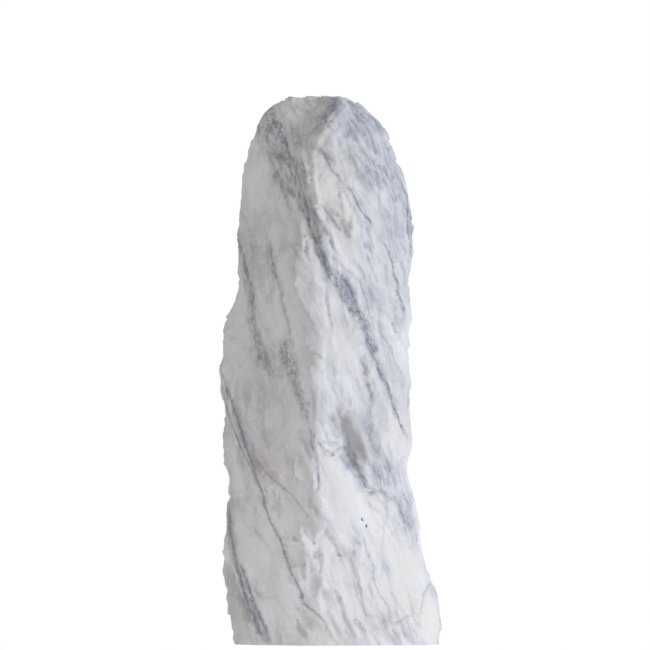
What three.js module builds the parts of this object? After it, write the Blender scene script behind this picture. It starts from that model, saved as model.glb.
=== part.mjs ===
// Garden boulder: an upright block of veined marble, split out of its bed, dressed with a hammer
// and sawn flat underneath so that it stands by itself. It is one natural piece, so it is one mesh.
// Millimetres, +Z up. The front of the stone faces -Y, and the origin is the middle of its plan
// on the ground.
//
// The stone is built the way it was worked. Long arrises run from the ground to the crown, with a
// split face between each two. Flakes are then struck off those faces and chips off the arrises,
// each leaving a shallow dished scar, and the whole surface keeps the lumps of the broken bed.

import * as THREE from "three";
import { ImprovedNoise } from "three/addons/math/ImprovedNoise.js";

// ---- Driving dimensions ----

const HEIGHT = 1200; // ground to crown; the arrises below are laid out on a stone of this height
const ROWS = 76; // rings of points between the ground and the crown
const CORE_TOP = 1030; // faces are worked back towards an upright core, which ends at this height
const SEED = 8; // of the scattered scars

// The marble's beds dip steeply to the right, and every flake is longer along them than across.
const GRAIN = new THREE.Vector3(0.38, 0.1, -0.92).normalize();
const GRAIN_STRETCH = 1.8; // times as long as wide

// ---- Arrises ----
// Counter-clockwise seen from above. Points are [z, x, y] from the ground upwards, and all end at
// the crown. The face from an arris to the next one is crossed in `steps` columns, and `bow` is how
// far the middle of that face stands out of the flat. Bows die out towards the crown, by BOW_FADE.

const CROWN = [1200, 8, 12];
const BOW_FADE = 4; // power of the share of the height

const ARRISES = {
  front_ridge: {
    steps: 9,
    bow: 5,
    points: [
      [0, 4, -168],
      [98, -22, -172],
      [200, -12, -168],
      [262, -14, -168],
      [332, -34, -166],
      [457, -34, -162],
      [549, -31, -168],
      [673, -16, -155],
      [761, 2, -144],
      [798, 8, -139],
      [885, -10, -135],
      [955, -33, -134],
      [1010, -41, -126],
      [1099, -24, -104],
      [1150, 6, -78],
      [1188, 33, -38],
    ],
  },
  front_right: {
    steps: 7,
    bow: 13,
    points: [
      [0, 142, -124],
      [90, 144, -106],
      [180, 118, -108],
      [340, 98, -92],
      [560, 92, -96],
      [760, 104, -84],
      [940, 104, -80],
      [1060, 90, -70],
      [1130, 72, -50],
      [1172, 50, -26],
    ],
  },
  right: {
    steps: 7,
    bow: 15,
    points: [
      [0, 242, -4],
      [66, 241, 7],
      [109, 238, 14],
      [214, 203, 26],
      [284, 199, 29],
      [383, 176, 34],
      [426, 180, 28],
      [525, 176, 14],
      [577, 178, 2],
      [603, 167, -4],
      [656, 166, -6],
      [732, 180, -8],
      [762, 174, -3],
      [866, 184, 14],
      [971, 181, 25],
      [1023, 170, 30],
      [1056, 147, 25],
      [1095, 141, 20],
      [1143, 112, 14],
      [1176, 84, 12],
      [1191, 60, 11],
    ],
  },
  back_right: {
    steps: 8,
    bow: 6,
    points: [
      [0, 172, 112],
      [80, 178, 128],
      [210, 150, 140],
      [320, 132, 128],
      [405, 130, 142],
      [520, 140, 122],
      [640, 112, 130],
      [700, 106, 122],
      [800, 124, 112],
      [890, 118, 118],
      [960, 122, 96],
      [1050, 102, 94],
      [1110, 88, 76],
      [1166, 66, 58],
    ],
  },
  back_ridge: {
    steps: 8,
    bow: 6,
    points: [
      [0, 30, 158],
      [110, 4, 178],
      [230, -14, 184],
      [300, -6, 170],
      [420, -2, 176],
      [520, -30, 180],
      [590, -38, 162],
      [700, -14, 156],
      [790, -8, 164],
      [860, -24, 146],
      [960, -16, 140],
      [1040, 4, 136],
      [1110, 10, 112],
      [1160, 8, 92],
      [1190, 6, 52],
    ],
  },
  back_left: {
    steps: 8,
    bow: 13,
    points: [
      [0, -110, 108],
      [90, -140, 128],
      [200, -154, 120],
      [330, -146, 138],
      [420, -158, 124],
      [500, -166, 126],
      [600, -166, 112],
      [680, -150, 120],
      [760, -128, 108],
      [860, -120, 116],
      [960, -124, 100],
      [1050, -108, 98],
      [1110, -104, 78],
      [1166, -88, 54],
    ],
  },
  left: {
    steps: 8,
    bow: 14,
    points: [
      [0, -201, 22],
      [98, -216, 13],
      [153, -230, 8],
      [299, -225, -14],
      [334, -218, -12],
      [426, -229, -6],
      [520, -234, 8],
      [597, -244, 20],
      [630, -234, 22],
      [678, -231, 26],
      [732, -211, 30],
      [780, -199, 23],
      [905, -195, 6],
      [962, -190, -8],
      [1025, -189, 0],
      [1084, -177, 8],
      [1143, -159, 14],
      [1174, -133, 13],
      [1192, -104, 12],
      [1198, -60, 12],
    ],
  },
  front_left: {
    steps: 8,
    bow: 4,
    points: [
      [0, -104, -124],
      [110, -136, -104],
      [300, -132, -100],
      [470, -150, -88],
      [610, -158, -82],
      [760, -122, -92],
      [900, -108, -90],
      [1000, -82, -98],
      [1095, -86, -80],
      [1132, -98, -58],
      [1174, -116, -20],
    ],
  },
};

// ---- Flake scars ----
// A scar is a dish `width` across the grain. The named hollows are where the stone has one of its
// own, at x and z on its front, and are `depth` deep. The swells are shells that stayed on, `height`
// proud. The other scars are scattered, with more small ones than large ones, and `hollow` is their
// depth as a share of their width. Chips lie `apart` from middle to middle along an arris.

const HOLLOWS = {
  crown_scoop: { x: -46, z: 1140, width: 150, depth: 16 },
  crown_notch: { x: -36, z: 1078, width: 44, depth: 7 },
  shoulder_flake: { x: 96, z: 1010, width: 120, depth: 8 },
  neck_flake: { x: 30, z: 1006, width: 70, depth: 6 },
  ridge_flake: { x: -100, z: 900, width: 90, depth: 7 },
  middle_hollow: { x: 46, z: 452, width: 116, depth: 30 },
  hollow_valley: { x: 36, z: 462, width: 60, depth: 36 },
  left_step: { x: -196, z: 545, width: 120, depth: 9 },
  waist_flake: { x: 130, z: 640, width: 110, depth: 8 },
  bed_step: { x: -146, z: 366, width: 84, depth: 10 },
  ridge_step: { x: -60, z: 336, width: 80, depth: 12 },
  foot_flake: { x: 60, z: 150, width: 130, depth: 9 },
  foot_step: { x: -22, z: 170, width: 60, depth: 8 },
};

const SWELLS = {
  ridge_wedge: { x: -50, z: 780, width: 140, height: 19 },
  hollow_lip: { x: 4, z: 470, width: 44, height: 6 },
  white_boss: { x: 34, z: 340, width: 90, height: 8 },
  foot_boss: { x: -58, z: 120, width: 150, height: 15 },
};

const FACE_FLAKES = { count: 120, width: [80, 190], hollow: [0.035, 0.07] };
const ARRIS_CHIPS = { apart: [22, 50], width: [40, 84], hollow: [0.09, 0.15] };
const MORE_SMALL = 1.5; // power of the chance that picks a width
const STOCK = 4; // the block is left this much too large before it is worked

// ---- Lumps of the broken bed ----
// Each is a field of soft lumps `size` apart and up to `height` proud.

const LUMPS = [
  { size: 150, height: 7 },
  { size: 62, height: 3.2 },
  { size: 34, height: 1.8 },
];
const LUMP_APART = 17.3; // each field is read this far from the one before, so that they don't line up

// ---- The split block ----

const noise = new ImprovedNoise();
const between = ([low, high], share) => low + (high - low) * share;
const chance = () => THREE.MathUtils.seededRandom();
const middleOf = (points) =>
  points.reduce((sum, point) => sum.add(point), new THREE.Vector3()).divideScalar(points.length);

// The line of an arris, from the ground to the crown.
function arrisLine({ points }) {
  const corners = [...points, CROWN].map(([z, x, y]) => new THREE.Vector3(x, y, z));
  const line = new THREE.CurvePath();
  corners.slice(1).forEach((corner, i) => line.add(new THREE.LineCurve3(corners[i], corner)));
  return line;
}

// One ring of points round the stone, at a share of the way from the ground to the crown.
function ring(lines, share) {
  const corners = lines.map((line) => line.getPoint(share));
  const middle = middleOf(corners);
  const bowLeft = 1 - share ** BOW_FADE;
  return Object.values(ARRISES).flatMap(({ steps, bow }, k) =>
    Array.from({ length: steps }, (_, step) => {
      const along = step / steps;
      const point = corners[k].clone().lerp(corners[(k + 1) % corners.length], along);
      const outward = point.clone().sub(middle).setZ(0).normalize();
      return point.addScaledVector(outward, bowLeft * (STOCK + bow * Math.sin(Math.PI * along)));
    }),
  );
}

function splitBlock() {
  const lines = Object.values(ARRISES).map(arrisLine);
  return {
    rings: Array.from({ length: ROWS }, (_, row) => ring(lines, row / ROWS)),
    crown: new THREE.Vector3(CROWN[1], CROWN[2], CROWN[0]),
  };
}

// Triangles over the rings, closed by a point in the sawn base and by the crown.
function closedSurface({ rings, crown }) {
  const columns = rings[0].length;
  const top = rings.length - 1;
  const points = [...rings.flat(), middleOf(rings[0]), crown];
  const [foot, peak] = [points.length - 2, points.length - 1];
  const at = (row, column) => row * columns + (column % columns);
  const index = [];
  for (let column = 0; column < columns; column++) {
    for (let row = 0; row < top; row++) {
      const [a, b] = [at(row, column), at(row, column + 1)];
      const [d, c] = [at(row + 1, column), at(row + 1, column + 1)];
      const shortWay = points[a].distanceTo(points[c]) < points[b].distanceTo(points[d]);
      index.push(...(shortWay ? [a, b, c, a, c, d] : [a, b, d, b, c, d]));
    }
    index.push(foot, at(0, column + 1), at(0, column));
    index.push(at(top, column), at(top, column + 1), peak);
  }
  return new THREE.BufferGeometry().setFromPoints(points).setIndex(index);
}

// ---- Working the faces ----

// Distances measured with the grain are shortened, so that a round dish there is a long one here.
function acrossGrain(vector) {
  return vector.clone().addScaledVector(GRAIN, (1 / GRAIN_STRETCH - 1) * vector.dot(GRAIN));
}

function scar(point, width, depth) {
  return { middle: acrossGrain(point), reach: width / 2, depth };
}

// How deep the dish of a scar is at a point.
function dish({ middle, reach, depth }, point) {
  return depth * Math.max(0, 1 - acrossGrain(point).distanceToSquared(middle) / reach ** 2);
}

// A dish at the point of the front that lies nearest to x and z.
function frontScar(points, { x, z, width, depth }) {
  const apart = (point) => (point.y < 0 ? Math.hypot(point.x - x, point.z - z) : Infinity);
  const nearest = points.reduce((best, point) => (apart(point) < apart(best) ? point : best));
  return scar(nearest, width, depth);
}

function scatteredScar(point, { width, hollow }) {
  const across = between(width, chance() ** MORE_SMALL);
  return scar(point, across, across * between(hollow, chance()));
}

function faceScars(points) {
  return Array.from({ length: FACE_FLAKES.count }, () =>
    scatteredScar(points[Math.floor(chance() * points.length)], FACE_FLAKES),
  );
}

// Chips follow each other up every arris.
function arrisScars(rings) {
  const scars = [];
  let column = 0;
  for (const { steps } of Object.values(ARRISES)) {
    let gap = 0;
    for (let row = 1; row < rings.length; row++) {
      gap -= rings[row][column].distanceTo(rings[row - 1][column]);
      if (gap > 0) continue;
      scars.push(scatteredScar(rings[row][column], ARRIS_CHIPS));
      gap = between(ARRIS_CHIPS.apart, chance());
    }
    column += steps;
  }
  return scars;
}

function lump(point) {
  const p = acrossGrain(point);
  return LUMPS.reduce((sum, { size, height }, k) => {
    const at = p.clone().divideScalar(size).addScalar(LUMP_APART * k);
    return sum + height * noise.noise(at.x, at.y, at.z);
  }, 0);
}

// Moves every point of the block straight towards the core by the deepest scar over it, and out by
// the swells and the lumps. The lowest ring only moves level, so that the sawn face stays flat.
function worked({ rings, crown }) {
  THREE.MathUtils.seededRandom(SEED);
  const points = rings.flat();
  const hollows = Object.values(HOLLOWS).map((each) => frontScar(points, each));
  const scars = [...hollows, ...faceScars(points), ...arrisScars(rings)];
  const swells = Object.values(SWELLS).map((each) =>
    frontScar(points, { ...each, depth: each.height }),
  );
  const deepest = (dishes, point) => Math.max(...dishes.map((each) => dish(each, point)));

  const move = (point, middle) => {
    const inward = middle.clone().setZ(Math.min(point.z, CORE_TOP)).sub(point).normalize();
    const out = deepest(swells, point) + lump(point);
    return point.clone().addScaledVector(inward, deepest(scars, point) - out);
  };
  return {
    rings: rings.map((each) => each.map((point) => move(point, middleOf(each)))),
    crown: move(crown, middleOf(rings.at(-1))),
  };
}

// ---- The stone ----

const marble = new THREE.MeshStandardMaterial({ color: 0xd3d3d7, roughness: 0.65, metalness: 0 });

function boulder() {
  const geometry = closedSurface(worked(splitBlock()));
  geometry.computeBoundingBox();
  const { min, max } = geometry.boundingBox;
  const scale = HEIGHT / max.z;
  geometry.translate(-(min.x + max.x) / 2, -(min.y + max.y) / 2, 0);
  geometry.scale(scale, scale, scale);
  geometry.computeVertexNormals();
  const stone = new THREE.Mesh(geometry, marble);
  stone.name = "boulder";
  return stone;
}

const part = new THREE.Group();
part.name = "garden_boulder";
part.add(boulder());

export default part;
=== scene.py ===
# A garden boulder: one upright block of white marble with blue-grey veins, split out of its bed,
# dressed along its edges with a hammer and sawn flat underneath. Metres, +Z up, front facing -Y. The
# tables of steps, dishes, clouds and veins are in millimetres.

import math

import bmesh
import bpy
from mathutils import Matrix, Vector


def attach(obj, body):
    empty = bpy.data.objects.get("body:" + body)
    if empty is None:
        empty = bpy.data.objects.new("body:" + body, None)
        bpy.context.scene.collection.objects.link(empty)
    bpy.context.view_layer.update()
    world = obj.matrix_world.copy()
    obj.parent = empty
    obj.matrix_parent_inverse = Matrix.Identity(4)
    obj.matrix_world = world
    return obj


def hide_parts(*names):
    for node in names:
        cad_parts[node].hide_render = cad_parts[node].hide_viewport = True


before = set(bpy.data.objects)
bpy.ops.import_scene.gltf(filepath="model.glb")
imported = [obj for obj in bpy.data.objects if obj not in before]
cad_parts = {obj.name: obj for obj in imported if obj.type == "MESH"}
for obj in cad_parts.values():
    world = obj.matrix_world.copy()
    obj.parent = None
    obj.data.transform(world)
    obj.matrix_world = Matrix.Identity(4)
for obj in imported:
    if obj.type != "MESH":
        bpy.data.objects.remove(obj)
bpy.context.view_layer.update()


# ---- The split block ----
# The stone is a single natural piece. Its body is the block as it was split: long arrises, broad
# faces and a scooped crown. It gets a fine even skin of points here, which the relief then works.

BLOCK_ARRIS = math.radians(33)  # edges that turn more than this stay crisp
BLOCK_CRISPNESS = 0.7  # how far a crisp edge withstands the rounding
BLOCK_ROUNDING = 2  # times the block's faces are divided
BLUNT_PLACE = Vector((0.045, -0.10, 0.455))  # round this place the arrises are blunt
BLUNT_REACH = 0.105
SKIN_PITCH = 0.0044  # the distance between the skin's points
SAW_WASTE = 0.03  # how far the block goes on below the ground before it is sawn off


def finished_mesh(piece):
    """The piece's mesh with its modifiers worked in."""
    evaluated = piece.evaluated_get(bpy.context.evaluated_depsgraph_get())
    return bpy.data.meshes.new_from_object(evaluated)


block = bmesh.new()
block.from_mesh(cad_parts["boulder"].data)
bmesh.ops.remove_doubles(block, verts=block.verts, dist=1e-5)
for corner in block.verts:
    if corner.co.z < 1e-4:
        corner.co.z = -SAW_WASTE
bmesh.ops.join_triangles(
    block, faces=block.faces, angle_face_threshold=math.pi, angle_shape_threshold=math.pi
)
crease = block.edges.layers.float.new("crease_edge")
for edge in block.edges:
    middle = (edge.verts[0].co + edge.verts[1].co) / 2
    if edge.calc_face_angle(0) > BLOCK_ARRIS and (middle - BLUNT_PLACE).length > BLUNT_REACH:
        edge[crease] = BLOCK_CRISPNESS

stone = bpy.data.objects.new("marble_stone", bpy.data.meshes.new("marble_stone"))
bpy.context.scene.collection.objects.link(stone)
block.to_mesh(stone.data)
block.free()

rounding = stone.modifiers.new("rounding", "SUBSURF")
rounding.levels = rounding.render_levels = BLOCK_ROUNDING
skin = stone.modifiers.new("skin", "REMESH")
skin.mode = "VOXEL"
skin.voxel_size = SKIN_PITCH
stone.data = finished_mesh(stone)
stone.modifiers.clear()


# ---- The relief of the split faces ----
# Marble breaks in shallow shells and small flat flakes that run along its beds, and here and there
# a bed ends in a step. The side edges were dressed with a hammer, which leaves a row of chips. The
# largest steps and hollows of the front have places of their own.

BEDS = Vector((0.38, 0.1, -0.92)).normalized()  # the way the beds run
ACROSS_BEDS = Vector((0.92, 0.0, 0.38)).normalized()
EDGE_PLANE = 0.010  # the side edges and the crest lie near this plane
CREST = 1.15  # from here up the chips are shallow
MILLIMETRES = 1000  # in a metre

relief = bpy.data.node_groups.new("split_face_relief", "GeometryNodeTree")
relief.interface.new_socket("Geometry", in_out="INPUT", socket_type="NodeSocketGeometry")
relief.interface.new_socket("Geometry", in_out="OUTPUT", socket_type="NodeSocketGeometry")
RELIEF = {
    "Bed Stretch": 2.6,
    "Shell Size": 0.060,
    "Shell Depth": 0.0065,
    "Shell Step": 0.0035,
    "Flake Size": 0.055,
    "Flake Tilt": 0.20,
    "Crumb Size": 0.018,
    "Crumb Tilt": 0.155,
    "Step Spacing": 0.034,
    "Step Height": 0.0042,
    "Chip Size": 0.034,
    "Chip Depth": 0.0075,
    "Chip Reach": 0.040,
    "Swell Size": 0.11,
    "Swell Height": 0.011,
    "Grit Size": 0.010,
    "Grit Height": 0.0014,
}
for name in RELIEF:
    relief.interface.new_socket(name, in_out="INPUT", socket_type="NodeSocketFloat")
relief.interface.new_socket("Stone", in_out="INPUT", socket_type="NodeSocketMaterial")


def add(tree, kind, feeds=(), out=0, **settings):
    """Adds a node, feeds its inputs with values or with other nodes' outputs, and gives an output."""
    made = tree.nodes.new(kind)
    for name, value in settings.items():
        setattr(made, name, value)
    inputs = [socket for socket in made.inputs if socket.enabled]
    named = {socket.name: socket for socket in reversed(inputs)}
    pairs = feeds.items() if isinstance(feeds, dict) else enumerate(feeds)
    for key, feed in pairs:
        socket = named[key] if isinstance(key, str) else inputs[key]
        if isinstance(feed, bpy.types.NodeSocket):
            tree.links.new(feed, socket)
        elif feed is not None:
            socket.default_value = feed
    outputs = [socket for socket in made.outputs if socket.enabled]
    return outputs[out] if isinstance(out, int) else made.outputs[out]


def sums(tree, operation, *feeds):
    """One step of arithmetic on numbers."""
    return add(tree, "ShaderNodeMath", feeds, operation=operation)


def times(tree, one, other):
    """Two numbers multiplied."""
    return sums(tree, "MULTIPLY", one, other)


def noise(tree, place, scale, detail, roughness=0.5):
    """A soft random field that lies about a half."""
    feeds = {"Vector": place, "Scale": scale, "Detail": detail, "Roughness": roughness}
    return add(tree, "ShaderNodeTexNoise", feeds)


def total(tree, parts):
    """All the parts added up."""
    whole = parts[0]
    for part in parts[1:]:
        whole = sums(tree, "ADD", whole, part)
    return whole


def fade(tree, value, start, end, low=0.0, high=1.0):
    """Goes smoothly from low to high while the value goes from start to end."""
    feeds = {"Value": value, "From Min": start, "From Max": end, "To Min": low, "To Max": high}
    return add(tree, "ShaderNodeMapRange", feeds, interpolation_type="SMOOTHSTEP", clamp=False)


def measured(tree, place, direction):
    """How far a place lies in a direction."""
    feeds = (place, tuple(direction))
    return add(tree, "ShaderNodeVectorMath", feeds, operation="DOT_PRODUCT", out="Value")


def scaled(tree, vector, by):
    """A vector made longer or shorter."""
    feeds = {"Vector": vector, "Scale": by}
    return add(tree, "ShaderNodeVectorMath", feeds, operation="SCALE")


def along_beds(tree, place, stretch):
    """Squeezes space along the beds, so that what is round there is long here."""
    squeeze = sums(tree, "SUBTRACT", sums(tree, "DIVIDE", 1.0, stretch), 1.0)
    much = times(tree, measured(tree, place, BEDS), squeeze)
    shift = scaled(tree, tuple(BEDS), much)
    return add(tree, "ShaderNodeVectorMath", (place, shift), operation="ADD")


def strayed(tree, place, scale, reach):
    """A place moved about by a soft noise, so that what is drawn there wavers."""
    field = noise(tree, place, scale, detail=2.0).node.outputs["Color"]
    about = add(tree, "ShaderNodeVectorMath", (field, (0.5, 0.5, 0.5)), operation="SUBTRACT")
    move = scaled(tree, about, reach)
    return add(tree, "ShaderNodeVectorMath", (place, move), operation="ADD")


def scars(tree, place, size, depth, step):
    """Dishes with raised rims, each at a height of its own."""
    scale = sums(tree, "DIVIDE", 1.0, size)
    distance = add(tree, "ShaderNodeTexVoronoi", {"Vector": place, "Scale": scale})
    rim = times(tree, sums(tree, "POWER", distance, 2.0), depth)
    own = add(tree, "ShaderNodeSeparateXYZ", (distance.node.outputs["Color"],))
    height = times(tree, sums(tree, "SUBTRACT", own, 0.5), step)
    low = times(tree, depth, 0.3)
    return sums(tree, "ADD", sums(tree, "SUBTRACT", rim, low), height)


def flats(tree, place, size, tilt):
    """Small flat breaks, each leaning its own way, with a sharp edge where two meet."""
    scale = sums(tree, "DIVIDE", 1.0, size)
    middle = add(tree, "ShaderNodeTexVoronoi", {"Vector": place, "Scale": scale}, out="Position")
    off = add(tree, "ShaderNodeVectorMath", (place, middle), operation="SUBTRACT")
    own = middle.node.outputs["Color"]
    leaning = add(tree, "ShaderNodeVectorMath", (own, (0.5, 0.5, 0.5)), operation="SUBTRACT")
    height = add(tree, "ShaderNodeVectorMath", (off, leaning), operation="DOT_PRODUCT", out="Value")
    return times(tree, height, tilt)


def lumps(tree, place, size, height, detail):
    """A rolling field of noise, as far below the surface as above it."""
    scale = sums(tree, "DIVIDE", 1.0, size)
    field = noise(tree, place, scale, detail)
    return times(tree, sums(tree, "SUBTRACT", field, 0.5), height)


def bed_steps(tree, place, spacing, height):
    """Steps along the beds, each sharp on its left and dying away to its right."""
    turns = sums(tree, "FRACT", sums(tree, "DIVIDE", measured(tree, place, ACROSS_BEDS), spacing))
    return times(tree, sums(tree, "SUBTRACT", 0.5, turns), height)


def own_frame(tree, place, x, z, lean, reach, length):
    """Where a place lies across and along an oval at x and z that leans to the right downwards."""
    x, z, reach, length = (value / MILLIMETRES for value in (x, z, reach, length))
    off = add(tree, "ShaderNodeVectorMath", (place, (x, 0.0, z)), operation="SUBTRACT")
    right = math.cos(math.radians(lean))
    down = math.sin(math.radians(lean))
    across = measured(tree, off, (right / reach, 0.0, down / reach))
    along = measured(tree, off, (down / length, 0.0, -right / length))
    return across, along


def own_step(tree, place, x, z, lean, reach, length, height):
    """One step: sharp on its line, dying away over its reach and towards the ends of its length."""
    across, along = own_frame(tree, place, x, z, lean, reach, length)
    away = add(tree, "ShaderNodeMapRange", {"Value": across, "To Min": height, "To Max": 0.0})
    begun = sums(tree, "GREATER_THAN", across, 0.0)
    ends = times(tree, along, along)
    left_over = add(tree, "ShaderNodeMath", (1.0, ends), operation="SUBTRACT", use_clamp=True)
    return times(tree, times(tree, away, begun), left_over)


def own_dish(tree, place, x, z, lean, reach, length, height):
    """One long dish, or a boss where its height is above nothing."""
    across, along = own_frame(tree, place, x, z, lean, reach, length)
    out = sums(tree, "MULTIPLY_ADD", across, across, times(tree, along, along))
    inside = add(tree, "ShaderNodeMath", (1.0, out), operation="SUBTRACT", use_clamp=True)
    return times(tree, inside, height)


# x, z, lean in degrees, reach, length to either side, height
OWN_STEPS = {
    "ridge_foot": (-63, 352, 8, 42, 65, 16),
    "arris_high": (-14, 1130, -37, 45, 50, 14),
    "ridge_foot_left": (-66, 382, 30, 28, 50, 11),
    "lit_wedge": (-60, 905, 6, 34, 55, 9),
    "ridge_middle": (0, 728, 8, 28, 60, 5),
    "neck": (24, 979, 13, 22, 45, 5),
    "hollow_valley": (29, 446, 18, 41, 100, -12),
    "ridge_highlight_line": (-106, 1136, 28, 20, 48, -6),
    "scoop_rim": (6, 1140, -38, 34, 62, 6),
    "high_ridge": (-35, 1000, 2, 30, 100, 8),
    "middle_ridge": (-17, 866, 14, 30, 70, 7),
    "hollow_foot": (-6, 262, 24, 24, 50, 2),
    "ridge_foot_middle": (-35, 285, 10, 36, 50, 10),
    "ridge_foot_low": (-55, 212, 4, 50, 80, 11),
    "foot_rim": (-18, 160, 2, 16, 45, 4),
    "foot_ledge": (28, 202, 80, 20, 20, -5),
    "foot_ledge_left": (-85, 218, 84, 18, 45, 2),
    "foot_slit": (50, 200, 5, 16, 24, -5),
    "foot_fold": (14, 44, 28, 22, 44, 6),
    "foot_fold_right": (42, 46, 26, 18, 40, 5),
    "foot_fold_far": (85, 60, 24, 20, 40, 3),
    "foot_fold_high": (62, 130, 14, 18, 50, 4),
    "sliver_high": (-121, 415, 24, 32, 60, 14),
    "sliver_rim": (-77, 397, 32, 14, 28, 4),
    "wedge_low": (-66, 790, 8, 36, 85, 7),
    "foot_lens_right": (22, 96, 22, 22, 36, 6),
    "ridge_crest": (-37, 545, 3, 36, 90, 10),
    "neck_right": (36, 978, 26, 18, 40, 6),
    "below_neck": (4, 885, 14, 16, 32, 5),
    "neck_foot": (46, 910, -6, 16, 34, 5),
    "bay_rim": (52, 1060, 24, 18, 30, 6),
    "band_rim": (-50, 1010, 0, 20, 24, 6),
    "left_shelf": (-176, 700, 20, 40, 60, 5),
}
OWN_DISHES = {
    "grey_oval": (-43, 150, 12, 18, 46, -6),
    "foot_pit_left": (-30, 192, 20, 16, 14, -3),
    "foot_slot": (65, 34, 25, 12, 28, -4),
    "foot_lens": (-11, 108, 20, 10, 18, -4),
    "foot_lens_left": (-71, 50, 25, 16, 40, -5),
    "crown_spur": (0, 1104, 10, 16, 34, 5),
    "hollow_fill": (24, 500, 10, 85, 75, 13),
    "wedge_boss": (-76, 790, 8, 66, 210, 18),
    "sliver_boss": (-83, 310, 8, 52, 120, 12),
    "ridge_boss": (-35, 640, 8, 55, 160, 9),
    "arris_low_boss": (-28, 1102, -30, 20, 30, 7),
    "arris_high_boss": (18, 1176, -40, 18, 24, 6),
    "foot_boss": (-82, 205, 15, 50, 110, 10),
}

# x, z, lean in degrees, reach, length to either side, share
CALM = {  # where a face came away clean
    "white_patch": (28, 345, 22, 60, 100, 1.00),
    "pale_strip": (-160, 1020, 6, 40, 120, 0.80),
    "white_wedge": (0, 700, 8, 36, 140, 0.70),
    "left_foot": (-150, 150, 20, 60, 180, 0.50),
    "ridge_white": (30, 640, 8, 60, 150, 0.80),
    "right_foot": (150, 190, 15, 80, 200, 0.60),
    "foot": (35, 95, 15, 85, 120, 0.90),
    "left_face": (-140, 520, 15, 70, 150, 0.40),
}
BUSY = {  # where many small flakes came away
    "below_crest": (60, 1030, 25, 80, 150, 0.60),
    "slivers": (-70, 350, 20, 50, 100, 0.80),
}

inlet = relief.nodes.new("NodeGroupInput").outputs
spot = add(relief, "GeometryNodeInputPosition")
loose = strayed(relief, spot, scale=14.0, reach=0.035)
bedded = along_beds(relief, loose, inlet["Bed Stretch"])
near = strayed(relief, spot, scale=60.0, reach=0.010)
near_bedded = along_beds(relief, near, stretch=2.4)
chips = scars(relief, loose, inlet["Chip Size"], inlet["Chip Depth"], inlet["Shell Step"])
small_chips = flats(relief, near, inlet["Crumb Size"], inlet["Flake Tilt"])
depth = add(relief, "ShaderNodeSeparateXYZ", (spot,), out="Y")
off_edge = sums(relief, "ABSOLUTE", sums(relief, "SUBTRACT", depth, EDGE_PLANE))
near_edge = fade(relief, off_edge, 0.0, inlet["Chip Reach"], low=1.0, high=0.0)
near_crest = fade(relief, depth.node.outputs["Z"], CREST - 0.08, CREST, low=1.0, high=0.35)
near_edge = times(relief, near_edge, near_crest)
patches = noise(relief, spot, scale=9.0, detail=1.0)
flaked = fade(relief, patches, 0.42, 0.56, low=0.25, high=1.0)
stepped = fade(relief, noise(relief, loose, scale=9.0, detail=1.0), 0.46, 0.60)
flakes = flats(relief, near_bedded, inlet["Flake Size"], inlet["Flake Tilt"])
crumbs = flats(relief, near_bedded, inlet["Crumb Size"], inlet["Crumb Tilt"])
far = strayed(relief, spot, scale=8.0, reach=0.06)
steps = bed_steps(relief, far, inlet["Step Spacing"], inlet["Step Height"])
near_place = strayed(relief, spot, scale=26.0, reach=0.012)
own = [
    own_step(relief, near_place, *sizes, height / MILLIMETRES)
    for *sizes, height in OWN_STEPS.values()
]
own += [
    own_dish(relief, near_place, *sizes, height / MILLIMETRES)
    for *sizes, height in OWN_DISHES.values()
]
calm = total(relief, [own_dish(relief, spot, *sizes) for sizes in CALM.values()])
busy = total(relief, [own_dish(relief, spot, *sizes) for sizes in BUSY.values()])
rough = add(relief, "ShaderNodeMath", (1.0, calm), operation="SUBTRACT", use_clamp=True)
even = fade(relief, rough, 0.0, 1.0, low=0.35, high=1.0)
rough = sums(relief, "ADD", rough, busy)
shells = scars(relief, bedded, inlet["Shell Size"], inlet["Shell Depth"], inlet["Shell Step"])
raised = total(
    relief,
    [
        times(relief, shells, even),
        times(relief, times(relief, flakes, flaked), rough),
        times(relief, crumbs, rough),
        times(relief, times(relief, steps, stepped), rough),
        times(relief, sums(relief, "ADD", chips, small_chips), near_edge),
        lumps(relief, loose, inlet["Swell Size"], inlet["Swell Height"], detail=2.0),
        lumps(relief, bedded, inlet["Grit Size"], inlet["Grit Height"], detail=3.0),
        times(relief, total(relief, own), fade(relief, depth, -0.03, 0.0, low=1.0, high=0.0)),
    ],
)
outward = add(relief, "GeometryNodeInputNormal")
push = scaled(relief, outward, raised)
pushed = add(relief, "GeometryNodeSetPosition", {"Geometry": inlet["Geometry"], "Offset": push})
real = add(relief, "GeometryNodeRealizeInstances", (pushed,))
dressed = add(relief, "GeometryNodeSetMaterial", {"Geometry": real, "Material": inlet["Stone"]})
outlet = relief.nodes.new("NodeGroupOutput")
relief.links.new(dressed, outlet.inputs["Geometry"])


# ---- The marble ----
# White crystalline marble, clouded with grey along its beds. Dark blue-grey veins cross it as thin
# sheets, so each shows as a line on the face that it comes out of. A broken face is dull.


def shade(red, green, blue):
    """A colour given as it looks on a screen, 0 to 255, as the amount of light that it sends back."""

    def light(value):
        value /= 255
        return value / 12.92 if value <= 0.04045 else ((value + 0.055) / 1.055) ** 2.4

    return (light(red), light(green), light(blue), 1.0)


WHITE = shade(240, 239, 239)
WARM = shade(236, 232, 229)
CLOUD_LEFT = shade(167, 167, 171)
CLOUD_RIGHT = shade(162, 167, 181)
DUN = shade(178, 170, 162)
VEIN = shade(102, 107, 122)
RUST = shade(208, 188, 148)
PAINTED_HIGHLIGHT_BLUE = shade(205, 211, 222)

marble = bpy.data.materials.new("veined_marble")
marble.use_nodes = True
look = marble.node_tree
look.nodes.clear()

place = add(look, "ShaderNodeTexCoord", out="Object")
place_x = add(look, "ShaderNodeSeparateXYZ", (place,), out="X")
place_y = place_x.node.outputs["Y"]
place_z = place_x.node.outputs["Z"]

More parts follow.
